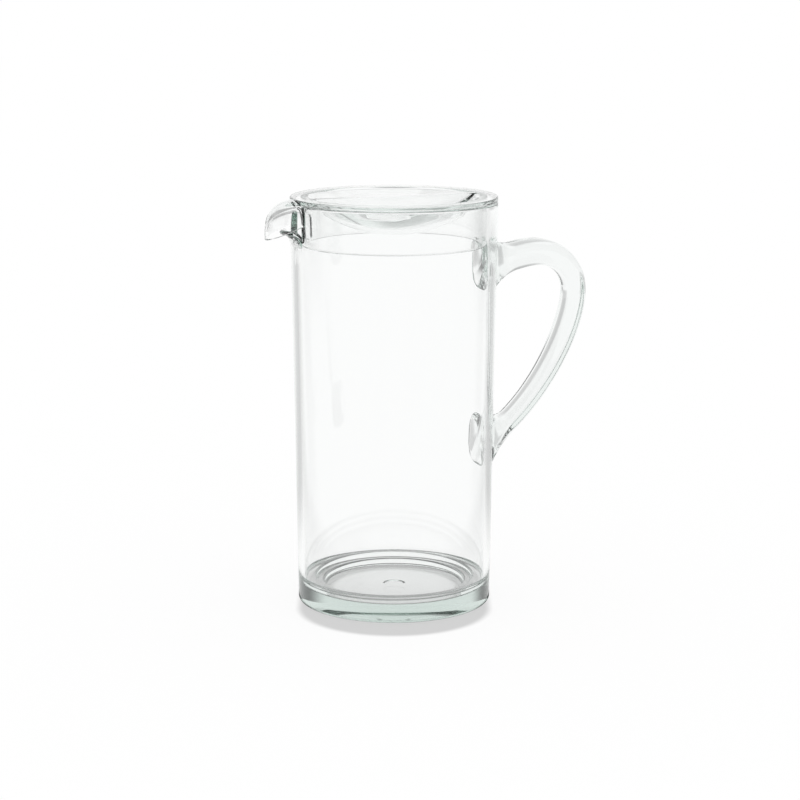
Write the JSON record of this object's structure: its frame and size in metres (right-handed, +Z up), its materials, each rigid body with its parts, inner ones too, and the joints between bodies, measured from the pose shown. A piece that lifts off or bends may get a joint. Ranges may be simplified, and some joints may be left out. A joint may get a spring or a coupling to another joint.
{
  "type": "water jug",
  "caption": "Clear water jug with a tapered body, thick base and ear-shaped handle, and a lift-off lid with a sunken grip and a hooded pouring spout.",
  "frame": {"origin": "centre of the flat underside of the base", "axes": "+Z up along the jug's axis, -X towards the spout, +X towards the handle"},
  "size_m": [0.1845, 0.112, 0.223],
  "materials": {
    "clear_plastic": "gloss, water clear"
  },
  "bodies": {
    "jug": {"jug_body": "clear_plastic", "handle": "clear_plastic"},
    "lid": {"lid": "clear_plastic"}
  },
  "joints": [
    {"name": "lid_lift", "type": "slide", "parent": "jug", "child": "lid", "axis": [0, 0, 1], "range_m": [0, 0.06]}
  ]
}
